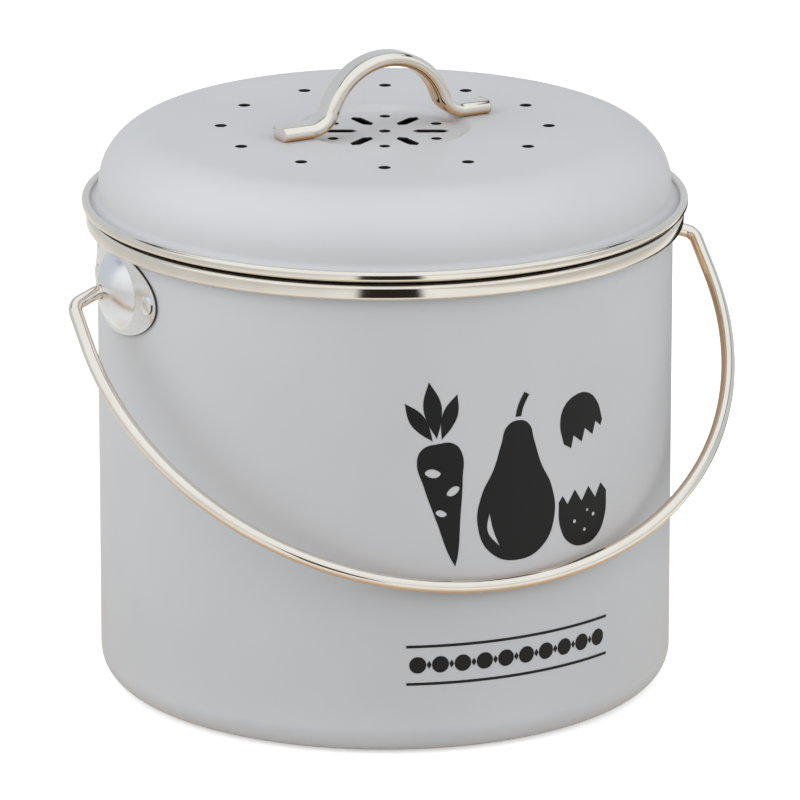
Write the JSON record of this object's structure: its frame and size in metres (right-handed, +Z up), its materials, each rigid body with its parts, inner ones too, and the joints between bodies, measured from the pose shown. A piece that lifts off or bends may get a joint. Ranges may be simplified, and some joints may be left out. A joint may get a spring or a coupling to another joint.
{
  "type": "compost caddy",
  "caption": "Kitchen compost caddy: painted steel pail with vented lift-off lid, lift-out liner, charcoal filter and swinging wire bail.",
  "frame": {"origin": "on the ground under the centre of the pail's base", "axes": "+Z up, -Y towards the front (where the bail rests), +X towards the right ear; the bail's pivot line is parallel to X"},
  "size_m": [0.2462, 0.2156, 0.229],
  "materials": {
    "pail_shell": "fine powder coat, light grey, satin",
    "pail_rim_trim": "bright plated trim",
    "left_ear": "bright pressed",
    "right_ear": "bright pressed",
    "ear_rivets": "bright",
    "bail_handle": "bright plated wire",
    "liner_bucket": "dark polypropylene",
    "lid_shell": "fine powder coat, light grey, satin",
    "lid_bead": "bright plated trim",
    "lid_collar": "plain steel",
    "lid_handle": "bright plated bar",
    "handle_screws": "zinc plated",
    "handle_washers": "zinc plated",
    "filter_holder": "dark polypropylene",
    "filter_cover": "dark polypropylene",
    "charcoal_filter": "charcoal-filled fibre mat"
  },
  "bodies": {
    "pail": {"pail_shell": "pail_shell", "pail_rim_trim": "pail_rim_trim", "left_ear": "left_ear", "right_ear": "right_ear", "ear_rivets": "ear_rivets"},
    "bail": {"bail_handle": "bail_handle"},
    "liner": {"liner_bucket": "liner_bucket"},
    "lid": {"lid_shell": "lid_shell", "lid_bead": "lid_bead", "lid_collar": "lid_collar", "lid_handle": "lid_handle", "handle_screws": "handle_screws", "handle_washers": "handle_washers", "filter_holder": "filter_holder"},
    "filter": {"filter_cover": "filter_cover", "charcoal_filter": "charcoal_filter"}
  },
  "joints": [
    {"name": "bail_swing", "type": "hinge", "parent": "pail", "child": "bail", "pos_m": [0, 0, 0.1529], "axis": [-1, 0, 0], "range_deg": [0, 261]},
    {"name": "liner_lift", "type": "slide", "parent": "pail", "child": "liner", "axis": [0, 0, 1], "range_m": [0, 0.2]},
    {"name": "lid_lift", "type": "slide", "parent": "liner", "child": "lid", "axis": [0, 0, 1], "range_m": [0, 0.12]},
    {"name": "filter_pull", "type": "slide", "parent": "lid", "child": "filter", "axis": [0, 0, -1], "range_m": [0, 0.05]}
  ]
}
